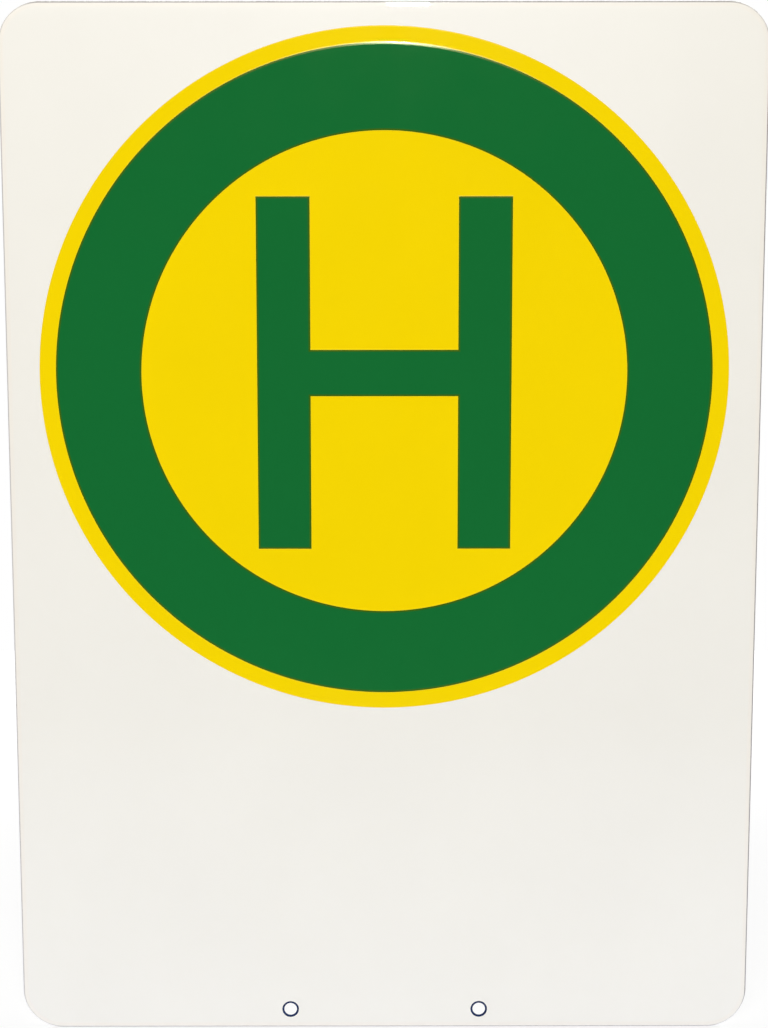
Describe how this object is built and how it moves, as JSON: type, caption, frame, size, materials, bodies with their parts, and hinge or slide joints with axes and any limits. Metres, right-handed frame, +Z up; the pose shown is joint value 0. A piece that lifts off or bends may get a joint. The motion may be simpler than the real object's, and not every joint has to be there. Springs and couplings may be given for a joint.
{
  "type": "bus stop flag",
  "caption": "Flat upright bus stop flag with rounded corners: a green letter H in a green ring on a yellow disc, above a plain white panel with bolt holes at its foot.",
  "frame": {"origin": "midway between the two lower bolt holes, on the plate's back face", "axes": "+Z up along the plate, +X to the right as seen from the front, +Y out of the back, so that the symbol faces -Y"},
  "size_m": [0.46, 0.0033, 0.645],
  "materials": {
    "white_coat": "smooth high-gloss cream-white coat on aluminium sheet",
    "yellow_layer": "gloss traffic-yellow colour layer",
    "green_layer": "gloss traffic-green raised colour layer"
  },
  "bodies": {
    "root": {"sign_plate": "white_coat", "yellow_disc": "yellow_layer", "green_ring": "green_layer", "letter_h": "green_layer"}
  },
  "joints": []
}
